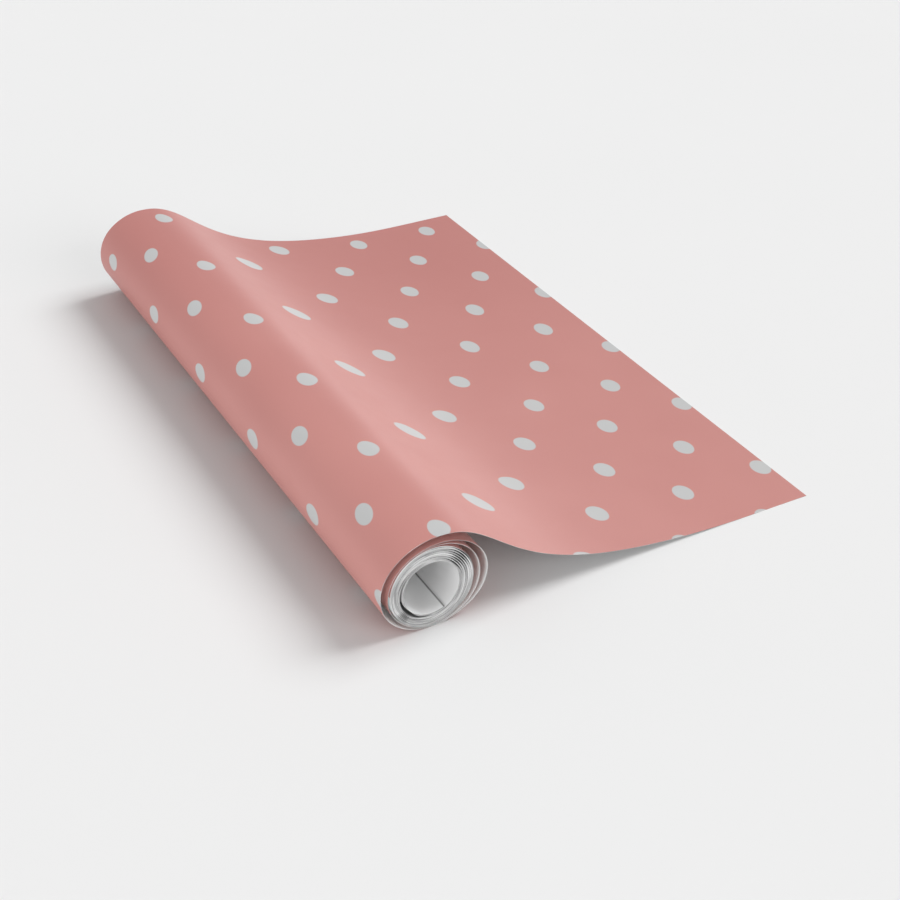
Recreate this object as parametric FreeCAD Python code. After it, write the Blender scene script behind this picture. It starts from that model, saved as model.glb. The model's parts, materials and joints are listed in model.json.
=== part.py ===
"""Wrapping paper roll: one long web of printed paper, wound without a core and partly unrolled.

The web is drawn in the X-Z plane as a chain of tangent arcs and straight runs, and every node
is a length of that chain, given the paper's thickness and extruded along the roll's axis (Y).
The chain starts at the edge inside the roll, winds clockwise outwards as seen from the -Y end,
leaves the roll at its top and falls to the table, where it lies flat up to its free edge.

Frame: +Z up, Y along the roll's axis, +X towards the free edge. The origin is the middle of the
underside of the whole object's box. All lengths are in millimetres and all angles in degrees.
"""

import FreeCAD
import Part
import math
import os

# --- Driving dimensions -------------------------------------------------------------------
WEB_WIDTH = 500.0            # width of the paper, which is the length of the roll
PAPER = 0.25                 # thickness of the paper as modelled

BORE_RADIUS = 18.6           # inside of the innermost turn, where a spindle goes
START_EDGE_HEADING = 152.4   # the web's first edge: degrees clockwise round the bore from its top
FULL_TURNS = 11              # whole turns from that edge; the web then runs on to the roll's top
BORE_ARC = 300.0             # stretch of the innermost turn that is a true circle
STEP_RISE = 1.9              # extra radius that lifts the web over its own first edge

TIGHT_PITCH = 1.02           # growth of the radius per turn where the turns lie close
TIGHT_SHIFT = 0.10           # the close turns bulge a little towards the upper right
TIGHT_SHIFT_HEADING = -39.0
TIGHT_STEP = 30.0            # each arc of the close turns spans this angle at most

# The outer turns have sprung loose and sag into ovals. (span, radius), from the inside out.
LOOSE_ARCS = (
    (90.0, 28.0), (90.0, 31.1), (90.0, 27.9), (90.0, 32.0), (90.0, 27.9),
    (45.0, 35.5), (45.0, 36.5), (90.0, 26.1), (45.0, 42.9), (45.0, 35.0),
    (90.0, 30.5), (45.0, 41.2),
)

SHEET_LENGTH = 295.7         # unrolled paper, from the roll's top to the free edge
SHEET_STRIPS = 28            # the unrolled paper bends along the lines between these strips
STRIP_GAP = 0.3              # clearance left at each bend line
BEND_LENGTH = 36.8           # how fast the paper bends over as it leaves the roll
BEND_POWER = 1.5
RELAX_LENGTH = 64.6          # how fast it flattens out again towards the table
LANDING_START = 190.0        # from here on it settles on the table,
LANDING_END = 264.0          # and from here on it lies flat


class Path:
    """A chain of tangent arcs and straight runs in the X-Z plane.

    A heading is the angle of travel below +X, so that it grows as the path turns clockwise.
    """

    def __init__(self, heading):
        """Starts a path at the origin with the given heading in degrees."""
        self.nodes = [(0.0, 0.0, heading)]
        self.lengths = [0.0]

    def arc(self, length, turn):
        """Adds a piece of the given length that turns clockwise by turn degrees."""
        x, z, heading = self.nodes[-1]
        chord = length * _sinc(math.radians(turn) / 2)
        middle = math.radians(heading + turn / 2)
        end = (x + chord * math.cos(middle), z - chord * math.sin(middle), heading + turn)
        self.nodes.append(end)
        self.lengths.append(self.lengths[-1] + length)

    def shift(self, dx, dz):
        """Moves the whole path."""
        self.nodes = [(x + dx, z + dz, heading) for x, z, heading in self.nodes]

    def at(self, s):
        """Point and heading of the path after the length s."""
        last = len(self.nodes) - 2
        i = next((k for k in range(last + 1) if s <= self.lengths[k + 1] + 1e-9), last)
        x, z, heading = self.nodes[i]
        span = self.lengths[i + 1] - self.lengths[i]
        share = (s - self.lengths[i]) / span
        turn = (self.nodes[i + 1][2] - heading) * share
        chord = span * share * _sinc(math.radians(turn) / 2)
        middle = math.radians(heading + turn / 2)
        return x + chord * math.cos(middle), z - chord * math.sin(middle), heading + turn

    def side_point(self, s, offset, y):
        """Point at the length s, moved to the left of the travel by offset, in the plane y."""
        x, z, heading = self.at(s)
        angle = math.radians(heading)
        return FreeCAD.Vector(x + offset * math.sin(angle), y, z + offset * math.cos(angle))

    def cuts(self, start, end):
        """The lengths of the joints between pieces from start to end, ends included."""
        inner = [s for s in self.lengths if start + 1e-6 < s < end - 1e-6]
        return [start] + inner + [end]


def _sinc(angle):
    """sin(angle) / angle, which turns the length of an arc into its chord."""
    return 1.0 if abs(angle) < 1e-9 else math.sin(angle) / angle


def wound_path():
    """The web inside the roll, from its first edge to the roll's top."""
    top_heading = 360.0 * (FULL_TURNS + 1)
    path = Path(START_EDGE_HEADING)
    middle_radius = BORE_RADIUS + PAPER / 2

    def turn_by(radius, span):
        path.arc(math.radians(span) * radius, span)

    for _ in range(4):
        turn_by(middle_radius, BORE_ARC / 4)
    turn_by(middle_radius + STEP_RISE, 360.0 - BORE_ARC)

    loose_start = top_heading - sum(span for span, _ in LOOSE_ARCS)
    while path.nodes[-1][2] < loose_start - 1e-6:
        heading = path.nodes[-1][2]
        span = min(TIGHT_STEP, loose_start - heading)
        middle = heading + span / 2
        turns = (middle - START_EDGE_HEADING) / 360.0
        shift = TIGHT_SHIFT * math.cos(math.radians(middle - TIGHT_SHIFT_HEADING))
        turn_by(middle_radius + TIGHT_PITCH * turns + shift, span)
    for span, radius in LOOSE_ARCS:
        turn_by(radius, span)
    return path


def fall_angle(s, steepness):
    """Heading of the unrolled paper at the length s from the roll's top."""
    if s >= LANDING_END:
        return 0.0
    bend = 1.0 - math.exp(-((s / BEND_LENGTH) ** BEND_POWER))
    landing = max(0.0, (s - LANDING_START) / (LANDING_END - LANDING_START))
    settle = 1.0 - landing * landing * (3.0 - 2.0 * landing)
    return steepness * bend * math.exp(-s / RELAX_LENGTH) * settle


def sheet_path(steepness):
    """The unrolled paper from the roll's top to its free edge, one arc for each strip."""
    path = Path(0.0)
    strip = SHEET_LENGTH / SHEET_STRIPS
    for i in range(SHEET_STRIPS):
        turn = fall_angle((i + 1) * strip, steepness) - fall_angle(i * strip, steepness)
        path.arc(strip, turn)
    return path


def landing_steepness(drop):
    """The steepness with which the unrolled paper comes down by exactly drop."""
    low, high = 30.0, 200.0
    for _ in range(60):
        middle = (low + high) / 2
        if -sheet_path(middle).nodes[-1][1] < drop:
            low = middle
        else:
            high = middle
    return (low + high) / 2


def layout():
    """The wound path, the sheet path and the X of the roll's axis, all in the object's frame."""
    wound = wound_path()
    lowest = min(wound.nodes, key=lambda node: node[1])
    top = wound.nodes[-1]
    floor = lowest[1] - PAPER / 2
    sheet = sheet_path(landing_steepness(top[1] - floor - PAPER / 2))
    sheet.shift(top[0], top[1])

    left = min(wound.side_point(wound.lengths[-1] * i / 5000, PAPER / 2, 0.0).x
               for i in range(5001))
    middle = (left + sheet.nodes[-1][0]) / 2
    wound.shift(-middle, -floor)
    sheet.shift(-middle, -floor)

    start = wound.nodes[0]
    angle = math.radians(START_EDGE_HEADING)
    reach = BORE_RADIUS + PAPER / 2
    axis = (start[0] - reach * math.sin(angle), start[1] - reach * math.cos(angle))
    return wound, sheet, axis


def paper_solid(path, start, end):
    """The paper between two lengths of a path, as a solid as wide as the web."""
    y = -WEB_WIDTH / 2

    def side(offset):
        edges = []
        cuts = path.cuts(start, end)
        for a, b in zip(cuts, cuts[1:]):
            p, q = path.side_point(a, offset, y), path.side_point(b, offset, y)
            straight = abs(path.at(b)[2] - path.at(a)[2]) < 1e-6
            if straight:
                edges.append(Part.LineSegment(p, q).toShape())
            else:
                middle = path.side_point((a + b) / 2, offset, y)
                edges.append(Part.Arc(p, middle, q).toShape())
        return edges

    left, right = side(PAPER / 2), side(-PAPER / 2)
    corners = [[path.side_point(s, offset, y) for offset in (PAPER / 2, -PAPER / 2)]
               for s in (start, end)]
    caps = [Part.LineSegment(*pair).toShape() for pair in corners]
    wire = Part.Wire(Part.__sortEdges__(left + right + caps))
    solid = Part.Face(wire).extrude(FreeCAD.Vector(0, WEB_WIDTH, 0))
    return solid


def turn_lengths(path):
    """The lengths along the wound path at which each turn starts, and the path's end."""
    starts = []
    for turn in range(FULL_TURNS + 1):
        heading = START_EDGE_HEADING + 360.0 * turn
        k = next(i for i in range(len(path.nodes) - 1)
                 if path.nodes[i + 1][2] > heading + 1e-6)
        first, second = path.nodes[k][2], path.nodes[k + 1][2]
        share = (heading - first) / (second - first)
        starts.append(path.lengths[k] + share * (path.lengths[k + 1] - path.lengths[k]))
    return starts + [path.lengths[-1]]


def wound_turns(path):
    """One node for each turn of the roll; the last one ends at the roll's top."""
    cuts = turn_lengths(path)
    return {f"wound_turn_{i + 1:02d}": paper_solid(path, a, b)
            for i, (a, b) in enumerate(zip(cuts, cuts[1:]))}


def sheet_strips(path):
    """One node for each strip of the unrolled paper, with clearance at the bend lines."""
    strip = SHEET_LENGTH / SHEET_STRIPS
    strips = {}
    for i in range(SHEET_STRIPS):
        last = i == SHEET_STRIPS - 1
        start = i * strip + STRIP_GAP / 2
        end = (i + 1) * strip - (0.0 if last else STRIP_GAP / 2)
        strips[f"sheet_strip_{i + 1:02d}"] = paper_solid(path, start, end)
    return strips


def main():
    """Builds every node and writes it to its own file."""
    wound, sheet, _ = layout()
    nodes = {**wound_turns(wound), **sheet_strips(sheet)}
    os.makedirs("parts", exist_ok=True)
    for name, solid in nodes.items():
        if not solid.isValid() or len(solid.Solids) != 1:
            raise ValueError(f"{name} is not one valid solid")
        solid.exportStep(f"parts/{name}.step")
    print(f"{len(nodes)} nodes, web {wound.lengths[-1] + SHEET_LENGTH:.0f} mm long")


if __name__ == "__main__":
    main()
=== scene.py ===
"""Partly unrolled roll of dotted gift wrap on a white table: what it looks like.

The whole paper web is drawn as one curve in the X-Z plane, swept across the width of the web
(Y). Its wound part is one piece that rides on the roll. The unrolled sheet is a row of narrow
pieces, one across each of the frame's hinges.

Lengths are in metres and angles in degrees, in the frame's own axes: +Z up, Y along the roll,
+X towards the free edge. A heading is the angle of the web's travel below +X, so that it grows
as the web turns clockwise. Distances along the web count from the top of the roll: they are
negative on the roll and positive on the unrolled sheet.
"""

import json
import logging
import math
from dataclasses import dataclass, field
from enum import Enum, IntEnum
from typing import Any, Optional, Sequence, Union

import bpy
import numpy as np
from mathutils import Matrix, Vector

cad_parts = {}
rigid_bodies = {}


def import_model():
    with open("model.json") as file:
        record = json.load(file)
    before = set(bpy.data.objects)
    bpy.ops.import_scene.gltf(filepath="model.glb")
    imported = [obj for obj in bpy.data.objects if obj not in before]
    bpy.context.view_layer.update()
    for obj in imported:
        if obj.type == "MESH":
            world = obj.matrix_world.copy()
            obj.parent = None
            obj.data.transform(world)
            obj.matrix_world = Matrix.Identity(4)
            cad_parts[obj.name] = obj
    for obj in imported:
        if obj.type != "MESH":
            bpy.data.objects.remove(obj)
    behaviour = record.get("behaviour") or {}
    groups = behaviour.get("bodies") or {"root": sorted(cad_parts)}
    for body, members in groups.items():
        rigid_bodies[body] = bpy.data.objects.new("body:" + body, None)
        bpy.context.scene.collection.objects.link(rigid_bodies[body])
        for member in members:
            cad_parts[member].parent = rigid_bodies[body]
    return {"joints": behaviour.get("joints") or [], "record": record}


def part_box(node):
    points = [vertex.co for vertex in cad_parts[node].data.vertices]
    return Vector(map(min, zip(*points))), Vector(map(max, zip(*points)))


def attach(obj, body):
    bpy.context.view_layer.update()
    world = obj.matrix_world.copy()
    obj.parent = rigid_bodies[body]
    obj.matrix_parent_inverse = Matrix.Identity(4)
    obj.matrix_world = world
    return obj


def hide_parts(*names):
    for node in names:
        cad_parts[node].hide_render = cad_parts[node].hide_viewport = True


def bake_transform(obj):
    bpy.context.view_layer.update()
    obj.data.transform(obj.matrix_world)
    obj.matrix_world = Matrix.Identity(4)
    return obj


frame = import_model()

log = logging.getLogger("wrapping_paper_roll")

Colour = tuple[float, float, float]


class Body(str, Enum):
    """Bodies of the frame that have one fixed name."""

    ROLL = "wound_roll"


class Layer(str, Enum):
    """UV layers of every paper piece."""

    PRINT = "print"
    WEB = "web"


class Face(IntEnum):
    """Material slots of every paper piece."""

    PRINTED = 0
    BACK = 1
    CUT = 2


# --- Finishes -----------------------------------------------------------------------------


@dataclass(frozen=True)
class PrintFinish:
    """The printed, satin side of the paper.

    Reaches and starts, here and below, are where a change begins and ends on the web.
    """

    ground: Colour = (0.510, 0.226, 0.205)
    ground_shade: Colour = (0.468, 0.198, 0.180)
    # a deeper, darker ground colour towards the far edge of the web
    ground_far_side: Colour = (0.436, 0.172, 0.156)
    dot: Colour = (0.46, 0.465, 0.465)
    dot_half_column: float = 0.206
    dot_half_row: float = 0.0945
    dot_stagger: float = 0.513
    dot_row_offset: float = 0.872
    dot_rim: tuple[float, float] = (0.93, 1.05)
    dots_start: tuple[float, float] = (-0.215, -0.205)
    far_side_reach: tuple[float, float] = (-0.12, 0.25)
    far_side_share: float = 0.85
    cloud_scale: float = 9.0
    cloud_share: float = 0.5
    speck_scale: float = 1500.0
    speck_reach: tuple[float, float] = (0.35, 0.75)
    speck_share: float = 0.35
    smear_scale: float = 60.0
    smear: float = 0.06
    dot_roughness: float = 0.03
    roughness: float = 0.42
    specular: float = 0.35


@dataclass(frozen=True)
class BackFinish:
    """The unprinted side, through which the print shows a little."""

    # the paper's own grey-white, with a slight painted cool tint against pink light bounced onto
    # it
    paper: Colour = (0.765, 0.775, 0.775)
    show_through: Colour = (0.71, 0.70, 0.70)
    # painted shadow: a dark line along the step at the web's first edge
    first_edge_shadow: Colour = (0.24, 0.24, 0.24)
    first_edge_shadow_width: float = 0.0009
    # painted shade in the gaps between the close turns, from a set distance past the first edge
    shade_between_turns: Colour = (0.14, 0.14, 0.14)
    shade_between_start: tuple[float, float] = (0.120, 0.130)
    # painted cool tint on the loose turns, which cancels the pink light bounced onto them from
    # the print
    loose_turns_bounce_cancel: Colour = (0.775, 0.86, 0.86)
    loose_start: tuple[float, float] = (-0.66, -0.60)
    loose_end: tuple[float, float] = (-0.02, 0.02)
    print_shows: float = 0.8
    cloud_scale: float = 30.0
    cloud_share: float = 0.5
    shade_share: float = 0.7
    roughness: float = 0.6
    specular: float = 0.35


@dataclass(frozen=True)
class CutFinish:
    """The cut edges of the web, which make up the ends of the roll."""

    # streaks of painted highlight (light) and painted shade (dark) along the turns, as light
    # falls on uneven layer edges
    light: Colour = (0.63, 0.63, 0.63)
    dark: Colour = (0.28, 0.28, 0.28)
    streak_scale: float = 45.0
    streak_stretch: tuple[float, float, float] = (1.0, 6.0, 1.0)
    streak_detail: float = 3.0
    grain_scale: float = 900.0
    grain_depth: float = 0.0001
    grain_strength: float = 0.4
    roughness: float = 0.75
    specular: float = 0.2


@dataclass(frozen=True)
class FibreFinish:
    """The relief of both sides of the paper: a fine grain on a faint cockling."""

    grain_scale: float = 2600.0
    grain_stretch: tuple[float, float, float] = (1.0, 0.45, 1.0)
    grain_detail: float = 3.0
    grain_share: float = 0.10
    cockle_scale: float = 22.0
    cockle_stretch: tuple[float, float, float] = (1.0, 0.35, 1.0)
    cockle_detail: float = 1.0
    depth: float = 0.00016
    strength: float = 0.5


@dataclass(frozen=True)
class TableFinish:
    """The matt white table top."""

    colour: Colour = (0.80, 0.80, 0.80)
    shade: float = 0.995
    mottle_scale: float = 3.0
    grain_scale: float = 500.0
    grain_depth: float = 0.0001
    grain_strength: float = 0.1
    roughness: float = 0.9
    specular: float = 0.0


# --- Shader graphs ------------------------------------------------------------------------


class Value:
    """An output of a node graph that can be used in sums like a number or a vector."""

    def __init__(self, graph: "Graph", socket: bpy.types.NodeSocket) -> None:
        """Wraps a socket.

        Args:
            graph: The graph that the socket belongs to.
            socket: The output socket.
        """
        self.graph = graph
        self.socket = socket

    def _math(self, operation: str, *values: "Operand") -> "Value":
        """Adds a Math node for these values."""
        return self.graph.add("ShaderNodeMath", dict(enumerate(values)), operation=operation)

    def __add__(self, other: "Operand") -> "Value":
        """Adds the other."""
        return self._math("ADD", self, other)

    def __radd__(self, other: "Operand") -> "Value":
        """Is added to the other."""
        return self._math("ADD", other, self)

    def __sub__(self, other: "Operand") -> "Value":
        """Subtracts the other."""
        return self._math("SUBTRACT", self, other)

    def __rsub__(self, other: "Operand") -> "Value":
        """Is subtracted from the other."""
        return self._math("SUBTRACT", other, self)

    def __mul__(self, other: "Operand") -> "Value":
        """Multiplies by the other."""
        return self._math("MULTIPLY", self, other)

    def __rmul__(self, other: "Operand") -> "Value":
        """The other is multiplied by this."""
        return self._math("MULTIPLY", other, self)

    def __truediv__(self, other: "Operand") -> "Value":
        """Divides by the other."""
        return self._math("DIVIDE", self, other)

    def __rtruediv__(self, other: "Operand") -> "Value":
        """The other is divided by this."""
        return self._math("DIVIDE", other, self)

    def root(self) -> "Value":
        """Returns the square root."""
        return self._math("SQRT", self)

    def least(self, other: "Operand") -> "Value":
        """Returns the smaller of this and the other.

        Args:
            other: The value to compare with.

        Returns:
            The smaller value.
        """
        return self._math("MINIMUM", self, other)

    def from_nearest(self, period: float) -> "Value":
        """Returns the signed distance to the nearest multiple of a period.

        Args:
            period: The spacing of the multiples.

        Returns:
            The distance, from minus to plus half a period.
        """
        return (self._math("FRACT", self / period + 0.5) - 0.5) * period


Operand = Union[Value, float]


class Graph:
    """The node graph of one material or world."""

    def __init__(self, tree: bpy.types.NodeTree) -> None:
        """Empties a node tree and takes it over.

        Args:
            tree: The node tree.
        """
        tree.nodes.clear()
        self.tree = tree

    def add(
        self,
        kind: str,
        inputs: Optional[dict[Union[int, str], Any]] = None,
        output: Union[int, str] = 0,
        **settings: Any,
    ) -> Value:
        """Makes a node, sets it up and links it.

        Args:
            kind: The node's type.
            inputs: What goes into its sockets, by number or name: a Value is linked, and
                anything else is set as a constant.
            output: The output to return, by number or name.
            **settings: The node's own properties.

        Returns:
            The chosen output, or the node's first input where it has no output.
        """
        node = self.tree.nodes.new(kind)
        for name, setting in settings.items():
            setattr(node, name, setting)
        for key, value in (inputs or {}).items():
            if isinstance(value, Value):
                self.tree.links.new(value.socket, node.inputs[key])
            else:
                node.inputs[key].default_value = value
        return Value(self, node.outputs[output] if node.outputs else node.inputs[0])

    def uv(self, layer: Layer) -> Value:
        """Returns the coordinates of a UV layer.

        Args:
            layer: The layer to read.

        Returns:
            The coordinates as a vector.
        """
        return self.add("ShaderNodeUVMap", uv_map=layer.value)

    def parts(self, vector: Value) -> tuple[Value, Value]:
        """Splits a vector.

        Args:
            vector: The vector.

        Returns:
            Its X and its Y.
        """
        split = self.add("ShaderNodeSeparateXYZ", {0: vector})
        node = split.socket.node
        return Value(self, node.outputs[0]), Value(self, node.outputs[1])

    def stretched(self, vector: Value, scale: Sequence[float]) -> Value:
        """Multiplies a vector by a constant one.

        Args:
            vector: The vector.
            scale: The factors for X, Y and Z.

        Returns:
            The product.
        """
        return self.add(
            "ShaderNodeVectorMath", {0: vector, 1: tuple(scale)}, operation="MULTIPLY"
        )

    def noise(self, vector: Value, scale: float, detail: float = 2.0) -> Value:
        """Adds a noise texture.

        Args:
            vector: Where it is read.
            scale: Its scale.
            detail: Its number of octaves.

        Returns:
            Its value, around 0.5.
        """
        return self.add(
            "ShaderNodeTexNoise", {"Vector": vector, "Scale": scale, "Detail": detail}
        )

    def ramp(self, value: Operand, low: float, high: float, to: tuple[float, float]) -> Value:
        """Maps a value smoothly from one range to another and holds it at the ends.

        Args:
            value: The value.
            low: Where the range starts.
            high: Where the range ends.
            to: The results at low and at high.

        Returns:
            The mapped value.
        """
        return self.add(
            "ShaderNodeMapRange",
            {0: value, 1: low, 2: high, 3: to[0], 4: to[1]},
            interpolation_type="SMOOTHSTEP",
        )

    def patches(self, noise: Value, low: float = 0.3, high: float = 0.7) -> Value:
        """Turns a noise into soft patches.

        Args:
            noise: The noise.
            low: The noise outside the patches.
            high: The noise in their middle.

        Returns:
            0 outside the patches and 1 inside.
        """
        return self.ramp(noise, low, high, (0.0, 1.0))

    def mix(self, share: Operand, first: Any, second: Any) -> Value:
        """Mixes two colours.

        Args:
            share: The share of the second one.
            first: A Value or a colour.
            second: A Value or a colour.

        Returns:
            The mixed colour.
        """
        colours = [c if isinstance(c, Value) else (*c, 1.0) for c in (first, second)]
        return self.add(
            "ShaderNodeMix", {0: share, 6: colours[0], 7: colours[1]}, 2, data_type="RGBA"
        )

    def bump(self, height: Value, distance: float, strength: float) -> Value:
        """Turns a height into a normal.

        Args:
            height: The height, in units of distance.
            distance: How deep a height of 1 is, in metres.
            strength: How much of it is used.

        Returns:
            The bent normal.
        """
        return self.add(
            "ShaderNodeBump", {"Height": height, "Distance": distance, "Strength": strength}
        )

    def surface(self, colour: Value, roughness: Operand, specular: float, normal: Value) -> None:
        """Ends a material's graph in one glossy surface.

        Args:
            colour: The base colour.
            roughness: The roughness.
            specular: The level of the mirror-like reflection.
            normal: The bent normal.
        """
        shader = self.add(
            "ShaderNodeBsdfPrincipled",
            {
                "Base Color": colour,
                "Roughness": roughness,
                "Specular IOR Level": specular,
                "Normal": normal,
            },
        )
        self.add("ShaderNodeOutputMaterial", {"Surface": shader})


class PaperShop:
    """Makes the materials of the paper, each of them once."""

    def __init__(
        self,
        printed: PrintFinish,
        back: BackFinish,
        cut: CutFinish,
        fibres: FibreFinish,
        start: float,
    ) -> None:
        """Makes the three materials.

        Args:
            printed: The finish of the printed side.
            back: The finish of the unprinted side.
            cut: The finish of the cut edges.
            fibres: The relief of both sides.
            start: Where the web starts, as a distance from the roll's top.
        """
        self.fibres = fibres
        self.start = start
        self.materials = {
            Face.PRINTED: self._printed(printed),
            Face.BACK: self._back(back, printed),
            Face.CUT: self._cut(cut),
        }

    @staticmethod
    def _graph(name: str) -> tuple[bpy.types.Material, Graph]:
        """Makes a material and its empty graph.

        Args:
            name: The material's name.

        Returns:
            The material and the graph.
        """
        material = bpy.data.materials.new(name)
        material.use_nodes = True
        return material, Graph(material.node_tree)

    @staticmethod
    def _dots(graph: Graph, finish: PrintFinish) -> Value:
        """Draws the staggered oval dots.

        Args:
            graph: The graph to draw in.
            finish: The sizes of the dots.

        Returns:
            1 inside a dot and 0 outside.
        """
        column, row = graph.parts(graph.uv(Layer.PRINT))
        edges = []
        for column_shift, row_shift in ((0.0, 0.0), (1.0, finish.dot_stagger)):
            across = (column - column_shift).from_nearest(2.0) / finish.dot_half_column
            along = (row - finish.dot_row_offset - row_shift).from_nearest(1.0)
            along = along / finish.dot_half_row
            edges.append((across * across + along * along).root())
        return graph.ramp(edges[0].least(edges[1]), *finish.dot_rim, (1.0, 0.0))

    def _relief(self, graph: Graph) -> Value:
        """Bends the normal by the paper's fine grain and its faint cockling.

        Args:
            graph: The graph to draw in.

        Returns:
            The bent normal.
        """
        web = graph.uv(Layer.WEB)
        fibres = self.fibres
        grain = graph.noise(
            graph.stretched(web, fibres.grain_stretch), fibres.grain_scale, fibres.grain_detail
        )
        cockle = graph.noise(
            graph.stretched(web, fibres.cockle_stretch), fibres.cockle_scale, fibres.cockle_detail
        )
        height = grain * fibres.grain_share + cockle
        return graph.bump(height, fibres.depth, fibres.strength)

    def _printed(self, finish: PrintFinish) -> bpy.types.Material:
        """Makes the printed side: a clouded, finely specked ground with pale dots.

        Args:
            finish: Its colours and sizes.

        Returns:
            The material.
        """
        material, graph = self._graph("printed_side")
        web = graph.uv(Layer.WEB)
        along, across = graph.parts(web)
        cloud = graph.patches(graph.noise(web, finish.cloud_scale)) * finish.cloud_share
        speck = graph.noise(web, finish.speck_scale)
        speck = graph.patches(speck, *finish.speck_reach) * finish.speck_share
        # the ground grows deeper and darker towards the web's far edge
        far_side = graph.ramp(across, *finish.far_side_reach, (0.0, finish.far_side_share))
        ground = graph.mix(cloud + speck, finish.ground, finish.ground_shade)
        ground = graph.mix(far_side, ground, finish.ground_far_side)
        dots = self._dots(graph, finish) * graph.ramp(along, *finish.dots_start, (0.0, 1.0))
        colour = graph.mix(dots, ground, finish.dot)
        smear = graph.noise(web, finish.smear_scale) * finish.smear
        roughness = finish.roughness + smear + dots * finish.dot_roughness
        graph.surface(colour, roughness, finish.specular, self._relief(graph))
        return material

    def _back(self, finish: BackFinish, printed: PrintFinish) -> bpy.types.Material:
        """Makes the unprinted side, with a painted shadow as a dark line along the web's first
        edge.

        It has painted shade between the close turns, and a painted cool tint between the loose
        ones, which cancels the pink light that the print around them bounces onto it.

        Args:
            finish: Its colours, and where along the web they change.
            printed: The print that shows through.

        Returns:
            The material.
        """
        material, graph = self._graph("unprinted_side")
        web = graph.uv(Layer.WEB)
        along, _ = graph.parts(web)
        from_start = along - self.start
        ghost = 1.0 - self._dots(graph, printed) * finish.print_shows
        cloud = graph.patches(graph.noise(web, finish.cloud_scale)) * finish.cloud_share
        shade = ghost * (cloud + (1.0 - finish.cloud_share)) * finish.shade_share
        colour = graph.mix(shade, finish.paper, finish.show_through)
        # painted shadow as a dark line along the web's first edge
        width = finish.first_edge_shadow_width
        edge = graph.ramp(from_start, width * 0.6, width * 1.4, (1.0, 0.0))
        colour = graph.mix(edge, colour, finish.first_edge_shadow)
        # painted shade between the close turns, left off the loose ones
        inside = graph.ramp(from_start, *finish.shade_between_start, (0.0, 1.0))
        loose = graph.ramp(along, *finish.loose_start, (0.0, 1.0))
        colour = graph.mix(inside * (1.0 - loose), colour, finish.shade_between_turns)
        # painted cool tint on the loose turns against the bounced pink light
        on_roll = graph.ramp(along, *finish.loose_end, (1.0, 0.0))
        colour = graph.mix(loose * on_roll, colour, finish.loose_turns_bounce_cancel)
        graph.surface(colour, finish.roughness, finish.specular, self._relief(graph))
        return material

    def _cut(self, finish: CutFinish) -> bpy.types.Material:
        """Makes the cut edges, with streaks of painted highlight and painted shade along the
        turns.

        Args:
            finish: Its colours.

        Returns:
            The material.
        """
        material, graph = self._graph("cut_edge")
        web = graph.uv(Layer.WEB)
        streak = graph.noise(
            graph.stretched(web, finish.streak_stretch), finish.streak_scale, finish.streak_detail
        )
        # painted highlight and shade streaks along the turns
        colour = graph.mix(graph.patches(streak), finish.light, finish.dark)
        grain = graph.noise(web, finish.grain_scale)
        normal = graph.bump(grain, finish.grain_depth, finish.grain_strength)
        graph.surface(colour, finish.roughness, finish.specular, normal)
        return material

    def dress(self, mesh: bpy.types.Mesh) -> None:
        """Gives a mesh the paper's materials in the order of Face.

        Args:
            mesh: The mesh.
        """
        for face in Face:
            mesh.materials.append(self.materials[face])


# --- The web ------------------------------------------------------------------------------


@dataclass(frozen=True)
class RollShape:
    """How the web is wound, from its first edge in the bore to the roll's top."""

    bore_radius: float = 0.0186
    start_heading: float = 152.4
    full_turns: int = 11
    bore_arc: float = 300.0
    step_rise: float = 0.0019
    pitch: float = 0.00102
    shift: float = 0.00010
    shift_heading: float = -39.0
    loose_arcs: tuple[tuple[float, float], ...] = (
        (90.0, 0.0280), (90.0, 0.0311), (90.0, 0.0279), (90.0, 0.0320), (90.0, 0.0279),
        (45.0, 0.0355), (45.0, 0.0365), (90.0, 0.0261), (45.0, 0.0429), (45.0, 0.0350),
        (90.0, 0.0305), (45.0, 0.0412),
    )
    easing: int = 36

    @property
    def end_heading(self) -> float:
        """The heading at the roll's top, after the last turn."""
        return 360.0 * (self.full_turns + 1)

    def radii(self, headings: np.ndarray, paper: float) -> np.ndarray:
        """Finds the radius of curvature of the wound web.

        Args:
            headings: Evenly spaced headings from the first edge to the roll's top, one
                degree apart.
            paper: The paper's thickness.

        Returns:
            The radii, eased from one arc into the next.
        """
        middle = self.bore_radius + paper / 2
        travelled = headings - self.start_heading
        shift = self.shift * np.cos(np.radians(headings - self.shift_heading))
        radii = middle + self.pitch * travelled / 360.0 + shift
        radii = np.where(travelled < 360.0, middle + self.step_rise, radii)
        radii = np.where(travelled < self.bore_arc, middle, radii)
        start = self.end_heading - sum(span for span, _ in self.loose_arcs)
        for span, radius in self.loose_arcs:
            radii = np.where(headings >= start, radius, radii)
            start += span
        window = np.hanning(self.easing + 2)[1:-1]
        padded = np.pad(radii, self.easing, mode="edge")
        eased = np.convolve(padded, window / window.sum(), mode="same")
        return eased[self.easing : -self.easing]


@dataclass(frozen=True)
class SheetShape:
    """How the unrolled sheet falls from the roll's top and settles on the table."""

    length: float = 0.2957
    bend_length: float = 0.0368
    bend_power: float = 1.5
    relax_length: float = 0.0646
    landing_start: float = 0.190
    landing_end: float = 0.264

    def headings(self, distances: np.ndarray, steepness: float) -> np.ndarray:
        """Finds the headings of the sheet.

        Args:
            distances: Distances from the roll's top.
            steepness: The scale of the fall, in degrees.

        Returns:
            The headings, in degrees.
        """
        bend = 1.0 - np.exp(-((distances / self.bend_length) ** self.bend_power))
        span = self.landing_end - self.landing_start
        landing = np.clip((distances - self.landing_start) / span, 0.0, 1.0)
        settle = 1.0 - landing * landing * (3.0 - 2.0 * landing)
        return steepness * bend * np.exp(-distances / self.relax_length) * settle


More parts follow.
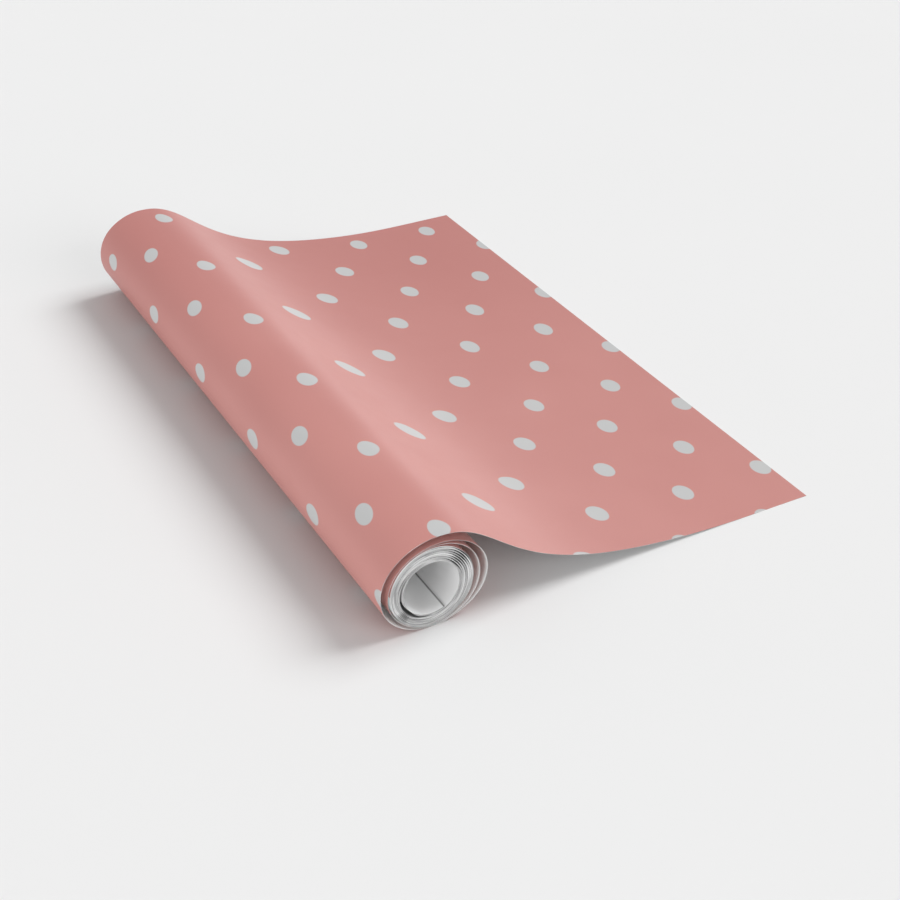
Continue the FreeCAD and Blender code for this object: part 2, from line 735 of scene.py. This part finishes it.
@dataclass(frozen=True)
class PrintShape:
    """The spacing of the printed dots, which is uneven as the paper's stretch is.

    Columns run across the web: a wave of wider ones lies over the fall, and they all lean by
    the skew. Rows run along the web. On the roll they are squeezed together, and drift sideways
    over its top. On the sheet they gather towards the middle and towards the near edge.
    """

    wound_spacing: float = 0.0291
    flat_spacing: float = 0.0319
    flat_reach: float = 0.060
    wave: float = 0.0920
    wave_start: float = 0.0209
    wave_power: float = 3.0
    wave_fade: float = 0.0560
    first_column: float = -0.23
    row_spacing: float = 0.0975
    drift: float = 0.009
    drift_middle: float = 0.035
    drift_reach: float = 0.054
    squeeze: float = 0.032
    squeeze_middle: float = 0.232
    squeeze_shift: float = 0.0035
    squeeze_end: float = 0.070
    squeeze_fade: float = 0.045
    gather: float = 0.009
    gather_ends: float = 0.45
    gather_middle: float = 0.210
    gather_reach: float = 0.090
    edge_gather: float = 0.0022
    edge_reach: float = 0.030
    skew: float = 0.0156

    def columns(self, distances: np.ndarray) -> np.ndarray:
        """Counts the columns of dots along the web.

        Args:
            distances: Increasing distances from the roll's top.

        Returns:
            The column coordinate, which is a whole number in the middle of a column.
        """
        ahead = np.clip(distances, 0.0, None)
        spacing = self.wound_spacing + (self.flat_spacing - self.wound_spacing) * (
            1.0 - np.exp(-ahead / self.flat_reach)
        )
        rise = 1.0 - np.exp(-((ahead / self.wave_start) ** self.wave_power))
        spacing = spacing + self.wave * rise * np.exp(-ahead / self.wave_fade)
        steps = np.diff(distances) * 2.0 / (spacing[1:] + spacing[:-1])
        count = np.concatenate([[0.0], np.cumsum(steps)])
        return count - np.interp(0.0, distances, count) + self.first_column

    def rows(self, distances: np.ndarray, across: np.ndarray) -> np.ndarray:
        """Counts the rows of dots across the web.

        Args:
            distances: Distances from the roll's top.
            across: Distances from the web's near edge.

        Returns:
            The row coordinate.
        """
        far = np.abs(distances - self.drift_middle) / self.drift_reach
        near = (across - self.gather_middle) / self.gather_reach
        on_roll = 1.0 - np.clip((distances - self.squeeze_end) / self.squeeze_fade, 0.0, 1.0)
        moved = self.squeeze_shift * on_roll + self.drift * np.exp(-(far**4))
        gathered = self.gather * (self.gather_ends - np.exp(-(near**2)))
        gathered = gathered + self.edge_gather * np.exp(-across / self.edge_reach)
        moved = moved + gathered * (1.0 - on_roll)
        apart = across - moved - self.squeeze_middle
        return (self.squeeze_middle + apart / (1.0 - self.squeeze * on_roll)) / self.row_spacing


@dataclass
class WebCurve:
    """The middle line of the whole web, with what changes along it.

    The close turns end at tight_until before the roll's top. They are drawn thick, so that they
    touch, except where slack opens a gap between them: at the slack heading, and more at the
    opposite one.
    """

    roll: RollShape
    sheet: SheetShape
    prints: PrintShape
    top_x: float
    paper: float = 0.00025
    sheet_paper: float = 0.00014
    tight_thickness: float = 0.00098
    tight_until: float = 0.620
    tight_fade: float = 0.08
    slack: float = 0.00070
    slack_bias: float = 0.1
    slack_heading: float = 50.0
    slack_power: int = 6
    thinning: float = 0.01
    sheet_step: float = 0.00035
    distance: np.ndarray = field(init=False)
    x: np.ndarray = field(init=False)
    z: np.ndarray = field(init=False)
    heading: np.ndarray = field(init=False)
    column: np.ndarray = field(init=False)
    density: np.ndarray = field(init=False)

    def __post_init__(self) -> None:
        """Lays the web out, with the roll's top at top_x and its underside on the table."""
        headings = np.arange(self.roll.start_heading, self.roll.end_heading + 0.5, 1.0)
        radii = self.roll.radii(headings, self.paper)
        steps = np.radians(np.diff(headings)) * (radii[1:] + radii[:-1]) / 2
        wound_x, wound_z = self._walk(headings, steps)
        wound_x += self.top_x - wound_x[-1]
        wound_z += self.paper / 2 - wound_z.min()
        wound_s = np.concatenate([[0.0], np.cumsum(steps)])

        count = round(self.sheet.length / self.sheet_step)
        sheet_s = np.linspace(0.0, self.sheet.length, count + 1)
        drop = wound_z[-1] - self.paper / 2
        sheet_headings, sheet_x, sheet_z = self._fall(sheet_s, drop)

        self.distance = np.concatenate([wound_s - wound_s[-1], sheet_s[1:]])
        self.x = np.concatenate([wound_x, sheet_x[1:] + wound_x[-1]])
        self.z = np.concatenate([wound_z, sheet_z[1:] + wound_z[-1]])
        self.heading = np.concatenate(
            [headings, sheet_headings[1:] + self.roll.end_heading]
        )
        self.column = self.prints.columns(self.distance)
        self.density = np.gradient(self.column, self.distance)

    @staticmethod
    def _walk(headings: np.ndarray, steps: np.ndarray) -> tuple[np.ndarray, np.ndarray]:
        """Follows headings from the origin.

        Args:
            headings: The headings at the points, in degrees.
            steps: The distances between the points.

        Returns:
            The X and Z of the points.
        """
        middle = np.radians((headings[1:] + headings[:-1]) / 2)
        x = np.concatenate([[0.0], np.cumsum(steps * np.cos(middle))])
        z = np.concatenate([[0.0], np.cumsum(-steps * np.sin(middle))])
        return x, z

    def _fall(
        self, distances: np.ndarray, drop: float
    ) -> tuple[np.ndarray, np.ndarray, np.ndarray]:
        """Finds the fall of the sheet that ends on the table.

        Args:
            distances: Distances from the roll's top.
            drop: How far the sheet has to come down.

        Returns:
            The headings, X and Z of the sheet, from the roll's top.
        """
        low, high = 30.0, 200.0
        for _ in range(50):
            middle = (low + high) / 2
            headings = self.sheet.headings(distances, middle)
            x, z = self._walk(headings, np.diff(distances))
            if -z[-1] < drop:
                low = middle
            else:
                high = middle
        return headings, x, z

    @property
    def start(self) -> float:
        """The distance of the web's first edge."""
        return float(self.distance[0])

    def between(self, start: float, end: float) -> np.ndarray:
        """Lists the distances of the curve's points from start to end, ends included.

        Args:
            start: Where to begin.
            end: Where to stop.

        Returns:
            The distances.
        """
        inner = self.distance[(self.distance > start + 1e-6) & (self.distance < end - 1e-6)]
        return np.concatenate([[start], inner, [end]])

    def read(self, name: str, distances: np.ndarray) -> np.ndarray:
        """Reads one of the curve's arrays at given distances.

        Args:
            name: The array's name.
            distances: Where to read it.

        Returns:
            The values.
        """
        return np.interp(distances, self.distance, getattr(self, name))

    def point(self, distance: float) -> Vector:
        """Finds a point of the middle line.

        Args:
            distance: Its distance from the roll's top.

        Returns:
            The point, in the middle of the web's width.
        """
        at = np.array([distance])
        return Vector((self.read("x", at)[0], 0.0, self.read("z", at)[0]))

    def thickness(self, distances: np.ndarray) -> np.ndarray:
        """Finds how far the printed side stands off the middle line.

        Args:
            distances: Distances from the roll's top.

        Returns:
            The distance from the middle line to the printed side.
        """
        loose = np.clip((distances + self.tight_until) / self.tight_fade, 0.0, 1.0)
        turn = np.radians(self.read("heading", distances) - self.slack_heading)
        opened = self.slack * (1.0 + self.slack_bias * (1.0 - np.cos(turn)))
        opening = np.clip(np.cos(2.0 * turn), 0.0, 1.0) ** self.slack_power
        tight = self.tight_thickness - opened * opening
        unrolled = np.clip(distances / self.thinning, 0.0, 1.0)
        thin = (self.paper + (self.sheet_paper - self.paper) * unrolled) / 2
        return tight + (thin - tight) * loose


@dataclass
class PaperPiece:
    """One stretch of the web as a closed mesh.

    Its vertices are a grid of rows along the web and columns across it, on two levels: level 0
    is the printed side and level 1 the unprinted one.
    """

    name: str
    curve: WebCurve
    shop: PaperShop
    width: float
    start: float
    end: float
    columns: int = 5
    raggedness: float = 0.0
    ragged_reach: float = 0.06
    ragged_waves: tuple[tuple[float, float], ...] = ((31.0, 1.0), (83.0, 1.0), (167.0, 0.7))

    def _edge_inset(self, distances: np.ndarray, side: float) -> np.ndarray:
        """Finds how far the web's edge lies inside its full width.

        Args:
            distances: Distances from the roll's top.
            side: -1 or 1, for the edge.

        Returns:
            The insets, which differ from turn to turn and fade out on the sheet.
        """
        wave = sum(
            height * np.sin(distances * pitch + (i + 1) * side)
            for i, (pitch, height) in enumerate(self.ragged_waves)
        )
        highest = sum(height for _, height in self.ragged_waves)
        fade = np.clip(-distances / self.ragged_reach, 0.0, 1.0)
        return self.raggedness * fade * (0.5 + 0.5 * wave / highest)

    def _across(self, distances: np.ndarray) -> np.ndarray:
        """Places the columns across the web.

        Args:
            distances: The rows' distances from the roll's top.

        Returns:
            The Y of each row's columns.
        """
        share = np.linspace(-1.0, 1.0, self.columns)[None, :]
        near, far = (self._edge_inset(distances, side)[:, None] for side in (-1.0, 1.0))
        return share * (self.width / 2 - np.where(share < 0, near, far))

    def _vertices(
        self, distances: np.ndarray, across: np.ndarray, offsets: np.ndarray
    ) -> np.ndarray:
        """Places the vertices.

        Args:
            distances: The rows' distances from the roll's top.
            across: The Y of each row's columns.
            offsets: How far each level's rows stand off the middle line.

        Returns:
            The vertices, level by level and row by row.
        """
        x, z = self.curve.read("x", distances), self.curve.read("z", distances)
        angle = np.radians(self.curve.read("heading", distances))
        levels = []
        for offset in offsets:
            px = np.broadcast_to((x + offset * np.sin(angle))[:, None], across.shape)
            pz = np.broadcast_to((z + offset * np.cos(angle))[:, None], across.shape)
            levels.append(np.stack([px, across, pz], axis=2).reshape(-1, 3))
        return np.concatenate(levels)

    def _faces(self, distances: np.ndarray) -> tuple[list[tuple[int, ...]], list[Face]]:
        """Lists the faces: both sides of the paper, its two edges and its two cut ends.

        Args:
            distances: The rows' distances from the roll's top.

        Returns:
            The vertices of each face, and what the face is.
        """
        rows, last = len(distances), self.columns - 1
        outside = [
            Face.BACK if distance < -self.curve.tight_until else Face.PRINTED
            for distance in distances
        ]
        faces: list[tuple[int, ...]] = []
        kinds: list[Face] = []

        def add(places: list[tuple[int, int, int]], kind: Face, order: int = 1) -> None:
            """Adds a face through places, each a level, row and column, or turns it over."""
            points = [(level * rows + i) * self.columns + j for level, i, j in places]
            faces.append(tuple(points[::order]))
            kinds.append(kind)

        for i in range(rows - 1):
            for j in range(last):
                cell = [(i, j), (i + 1, j), (i + 1, j + 1), (i, j + 1)]
                add([(0, *place) for place in cell], outside[i])
                add([(1, *place) for place in cell], Face.BACK, -1)
            for j, order in ((0, 1), (last, -1)):
                add([(0, i, j), (1, i, j), (1, i + 1, j), (0, i + 1, j)], Face.CUT, order)
        for i, order in ((0, -1), (rows - 1, 1)):
            for j in range(last):
                add([(0, i, j), (1, i, j), (1, i, j + 1), (0, i, j + 1)], Face.CUT, order)
        return faces, kinds

    def _places(
        self, mesh: bpy.types.Mesh, rows: int
    ) -> tuple[np.ndarray, np.ndarray, np.ndarray]:
        """Finds which vertex of the grid each face corner of the mesh is.

        Args:
            mesh: The mesh.
            rows: How many rows the grid has.

        Returns:
            The corners' levels, rows and columns.
        """
        vertex = np.empty(len(mesh.loops), dtype=np.int64)
        mesh.loops.foreach_get("vertex_index", vertex)
        level, place = np.divmod(vertex, rows * self.columns)
        row, column = np.divmod(place, self.columns)
        return level, row, column

    def _unwrap(
        self,
        mesh: bpy.types.Mesh,
        distances: np.ndarray,
        across: np.ndarray,
        offsets: np.ndarray,
    ) -> None:
        """Adds the UV layers.

        Args:
            mesh: The mesh.
            distances: The rows' distances from the roll's top.
            across: The Y of each row's columns.
            offsets: How far each level's rows stand off the middle line.
        """
        level, row, column = self._places(mesh, len(distances))
        y = across[row, column]
        prints = self.curve.prints
        lean = prints.skew * y * self.curve.read("density", distances)[row]
        maps = {
            Layer.PRINT: (
                self.curve.read("column", distances)[row] - lean,
                prints.rows(distances[row], y + self.width / 2),
            ),
            Layer.WEB: (distances[row], y + offsets[level, row]),
        }
        for layer, (u, v) in maps.items():
            uv = mesh.uv_layers.new(name=layer.value)
            uv.data.foreach_set("uv", np.stack([u, v], axis=1).reshape(-1))

    def _round_off(
        self, mesh: bpy.types.Mesh, distances: np.ndarray, kinds: list[Face]
    ) -> None:
        """Gives both sides the normals of the curve, so that pieces meet without a line.

        Args:
            mesh: The mesh.
            distances: The rows' distances from the roll's top.
            kinds: What each face is.
        """
        level, row, _ = self._places(mesh, len(distances))
        cut = np.repeat([kind is Face.CUT for kind in kinds], 4)
        outward = np.where(cut, 0.0, 1.0 - 2.0 * level)
        angle = np.radians(self.curve.read("heading", distances))[row]
        normals = [outward * np.sin(angle), 0.0 * outward, outward * np.cos(angle)]
        mesh.normals_split_custom_set(np.stack(normals, axis=1).tolist())

    def build(self) -> bpy.types.Object:
        """Makes the piece.

        Returns:
            The new object, in place.
        """
        distances = self.curve.between(self.start, self.end)
        across = self._across(distances)
        inner = np.full(len(distances), -self.curve.paper / 2)
        offsets = np.stack([self.curve.thickness(distances), inner])
        faces, kinds = self._faces(distances)

        mesh = bpy.data.meshes.new(self.name)
        mesh.from_pydata(self._vertices(distances, across, offsets).tolist(), [], faces)
        self.shop.dress(mesh)
        mesh.polygons.foreach_set("material_index", [int(kind) for kind in kinds])
        mesh.polygons.foreach_set("use_smooth", [kind is not Face.CUT for kind in kinds])
        self._unwrap(mesh, distances, across, offsets)
        self._round_off(mesh, distances, kinds)
        mesh.update()
        piece = bpy.data.objects.new(self.name, mesh)
        bpy.context.scene.collection.objects.link(piece)
        return piece


# --- The object ---------------------------------------------------------------------------


@dataclass
class WoundRoll:
    """The wound part of the web."""

    curve: WebCurve
    shop: PaperShop
    width: float
    end: float
    nodes: list[str]
    raggedness: float = 0.0007

    def build(self) -> bpy.types.Object:
        """Makes the roll and lets it ride on its body.

        Returns:
            The roll.
        """
        roll = PaperPiece(
            "wound_web", self.curve, self.shop, self.width, self.curve.start, self.end,
            raggedness=self.raggedness,
        ).build()
        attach(roll, Body.ROLL.value)
        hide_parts(*self.nodes)
        length = self.end - self.curve.start
        log.info("%s: %d turns, %.2f m of web", roll.name, len(self.nodes), length)
        return roll


@dataclass
class UnrolledSheet:
    """The unrolled part of the web: one piece across every hinge."""

    curve: WebCurve
    shop: PaperShop
    width: float
    joints: list[dict[str, Any]]
    members: dict[str, list[str]]

    @property
    def strip(self) -> float:
        """The distance between two hinges."""
        return self.curve.sheet.length / len(self.joints)

    def build(self) -> list[bpy.types.Object]:
        """Makes the pieces, from the roll's top to the free edge.

        Returns:
            The pieces.
        """
        pieces = []
        for i, joint in enumerate(self.joints):
            start = (i - 0.5) * self.strip
            end = (i + 0.5) * self.strip
            last = joint is self.joints[-1]
            reach = self.curve.sheet.length if last else end
            piece = PaperPiece(
                f"sheet_web_{i + 1:02d}", self.curve, self.shop, self.width, start, reach,
            ).build()
            self.curve.point(start)
            self.curve.point(end)
            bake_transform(piece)
            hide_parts(*self.members[joint["child"]])
            reach - start
            log.info("%s: bends between %s and %s", piece.name, joint["parent"], joint["child"])
            pieces.append(piece)
        return pieces


# --- The studio ---------------------------------------------------------------------------


@dataclass(frozen=True)
class Eye:
    """Where the camera stands and looks, from the point below the roll's axis."""

    offset: Vector = Vector((-0.34235, -0.87785, 0.5995))
    turned: float = 29.36
    tilted: float = 33.49
    rolled: float = 0.63
    lens: float = 62.23
    sensor: float = 36.0


@dataclass(frozen=True)
class Lamp:
    """One distant soft light: its strength, where it comes from and how wide it looks.

    It may be kept from casting shadows, and from falling on the table.
    """

    name: str
    strength: float
    source: Vector
    width: float
    shadows: bool = True
    on_table: bool = True


@dataclass
class Studio:
    """The table, the lights and the camera.

    The world is a plain sky that is brighter at the horizon, so that the table has no edge.
    """

    axis_x: float
    pieces: list[bpy.types.Object]
    table: TableFinish
    eye: Eye
    table_size: float = 40.0
    sky: float = 0.480
    horizon: float = 0.87
    horizon_reach: tuple[float, float] = (0.05, 0.25)
    lamps: tuple[Lamp, ...] = (
        Lamp("window", 2.10, Vector((0.67, 0.0, 0.743)), 32.0),
        Lamp("reflector", 2.25, Vector((-0.95, -0.25, 0.15)), 60.0, on_table=False),
        Lamp("front", 1.15, Vector((0.32, -0.91, 0.25)), 44.0),
        Lamp("sheen", 0.55, Vector((0.74, 0.66, -0.12)), 30.0, shadows=False),
    )

    def build(self) -> None:
        """Sets everything up."""
        self._table()
        self._world()
        self._light()
        self._camera()

    def _table(self) -> None:
        """Lays the table."""
        material = bpy.data.materials.new("table_top")
        material.use_nodes = True
        graph = Graph(material.node_tree)
        place = graph.add("ShaderNodeTexCoord", output="Object")
        finish = self.table
        mottle = graph.patches(graph.noise(place, finish.mottle_scale))
        shade = tuple(c * finish.shade for c in finish.colour)
        colour = graph.mix(mottle, finish.colour, shade)
        grain = graph.noise(place, finish.grain_scale)
        normal = graph.bump(grain, finish.grain_depth, finish.grain_strength)
        graph.surface(colour, finish.roughness, finish.specular, normal)
        bpy.ops.mesh.primitive_plane_add(size=self.table_size, location=(0.0, 0.0, 0.0))
        top = bpy.context.object
        top.name = "table_top"
        top.data.materials.append(material)
        log.info("%s: %.1f m square", top.name, self.table_size)

    def _world(self) -> None:
        """Makes the sky."""
        world = bpy.data.worlds.new("studio")
        world.use_nodes = True
        graph = Graph(world.node_tree)
        direction = graph.add("ShaderNodeTexCoord", output="Generated")
        height = graph.add("ShaderNodeSeparateXYZ", {0: direction}, output=2)
        strength = graph.ramp(height, *self.horizon_reach, (self.horizon, self.sky))
        sky = graph.add(
            "ShaderNodeBackground", {"Color": (1.0, 1.0, 1.0, 1.0), "Strength": strength}
        )
        graph.add("ShaderNodeOutputWorld", {"Surface": sky})
        bpy.context.scene.world = world

    def _light(self) -> None:
        """Hangs the lamps."""
        paper = bpy.data.collections.new("paper")
        for piece in self.pieces:
            paper.objects.link(piece)
        for lamp in self.lamps:
            data = bpy.data.lights.new(lamp.name, "SUN")
            data.energy = lamp.strength
            data.angle = math.radians(lamp.width)
            data.use_shadow = lamp.shadows
            light = bpy.data.objects.new(lamp.name, data)
            if not lamp.on_table:
                light.light_linking.receiver_collection = paper
            light.rotation_mode = "QUATERNION"
            light.rotation_quaternion = lamp.source.to_track_quat("Z", "Y")
            bpy.context.scene.collection.objects.link(light)
            log.info("%s: strength %.2f", lamp.name, lamp.strength)

    def _camera(self) -> None:
        """Sets up the camera, with colours shown as they are."""
        turn, tilt, roll = (
            math.radians(a) for a in (self.eye.turned, self.eye.tilted, self.eye.rolled)
        )
        ahead = Vector(
            (math.sin(turn) * math.cos(tilt), math.cos(turn) * math.cos(tilt), -math.sin(tilt))
        )
        level = Vector((math.cos(turn), -math.sin(turn), 0.0))
        upright = level.cross(ahead)
        right = level * math.cos(roll) + upright * math.sin(roll)
        up = upright * math.cos(roll) - level * math.sin(roll)
        data = bpy.data.cameras.new("eye")
        data.lens = self.eye.lens
        data.sensor_width = self.eye.sensor
        camera = bpy.data.objects.new("eye", data)
        place = Vector((self.axis_x, 0.0, 0.0)) + self.eye.offset
        turned = Matrix((right, up, -ahead)).transposed().to_4x4()
        camera.matrix_world = Matrix.Translation(place) @ turned
        bpy.context.scene.collection.objects.link(camera)
        bpy.context.scene.camera = camera
        bpy.context.scene.view_settings.view_transform = "Standard"
        log.info("camera at %s", tuple(round(c, 3) for c in place))


def main() -> None:
    """Builds the object and the studio."""
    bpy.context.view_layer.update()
    members = frame["record"]["behaviour"]["bodies"]
    joints = frame["joints"]
    mount = next(m for m in frame["record"]["mounts"] if m["name"] == "roll_bore")
    low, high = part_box(members[Body.ROLL.value][0])
    width = high.y - low.y

    curve = WebCurve(RollShape(), SheetShape(), PrintShape(), top_x=joints[0]["pos_m"][0])
    shop = PaperShop(PrintFinish(), BackFinish(), CutFinish(), FibreFinish(), curve.start)
    sheet = UnrolledSheet(curve, shop, width, joints, members)
    roll = WoundRoll(curve, shop, width, -0.5 * sheet.strip, members[Body.ROLL.value])
    pieces = [roll.build(), *sheet.build()]
    log.info("%d pieces, web %.3f m long", len(pieces), curve.distance[-1] - curve.start)

    Studio(mount["pos_m"][0], pieces, TableFinish(), Eye()).build()
    bpy.context.view_layer.update()


if __name__ == "__main__":
    logging.basicConfig(level=logging.INFO, format="%(name)s: %(message)s")
    main()
